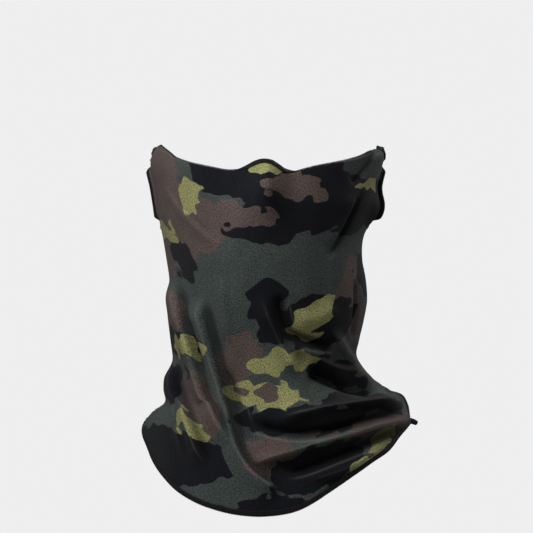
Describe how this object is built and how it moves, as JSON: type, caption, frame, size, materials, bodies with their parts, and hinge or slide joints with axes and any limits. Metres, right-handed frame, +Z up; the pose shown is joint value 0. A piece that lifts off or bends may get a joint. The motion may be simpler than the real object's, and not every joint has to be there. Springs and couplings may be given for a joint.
{
  "type": "face mask",
  "caption": "Pull-on camouflage face mask: a sewn knitted tube with an ear slot in each side seam, in its worn shape.",
  "frame": {"origin": "middle of the head, half way between the two ear slots at the height of their middles", "axes": "+Z up, the wearer looks along -Y, +X to the right of someone facing the mask"},
  "size_m": [0.2044, 0.2061, 0.2675],
  "materials": {
    "camo_knit": "brushed heathered knit, printed in a four-colour woodland camouflage",
    "overlock_thread": "black textured overlock thread",
    "needle_thread": "black twisted needle thread"
  },
  "bodies": {
    "root": {"back_panel": "camo_knit", "front_panel": "camo_knit", "hem_needle_thread_back": "needle_thread", "hem_needle_thread_front": "needle_thread", "hem_overlock_back": "overlock_thread", "hem_overlock_front": "overlock_thread", "left_ear_slot_needle_thread_back": "needle_thread", "left_ear_slot_needle_thread_front": "needle_thread", "left_ear_slot_overlock_back": "overlock_thread", "left_ear_slot_overlock_front": "overlock_thread", "left_ear_slot_tacks": "overlock_thread", "left_side_seam_needle_thread": "needle_thread", "left_side_seam_overlock": "overlock_thread", "left_top_seam_needle_thread": "needle_thread", "left_top_seam_overlock": "overlock_thread", "right_ear_slot_needle_thread_back": "needle_thread", "right_ear_slot_needle_thread_front": "needle_thread", "right_ear_slot_overlock_back": "overlock_thread", "right_ear_slot_overlock_front": "overlock_thread", "right_ear_slot_tacks": "overlock_thread", "right_hem_chain_end": "overlock_thread", "right_side_seam_needle_thread": "needle_thread", "right_side_seam_overlock": "overlock_thread", "right_top_chain_end": "overlock_thread", "right_top_seam_needle_thread": "needle_thread", "right_top_seam_overlock": "overlock_thread", "top_edge_needle_thread_back": "needle_thread", "top_edge_needle_thread_front": "needle_thread", "top_edge_overlock_back": "overlock_thread", "top_edge_overlock_front": "overlock_thread"}
  },
  "joints": []
}
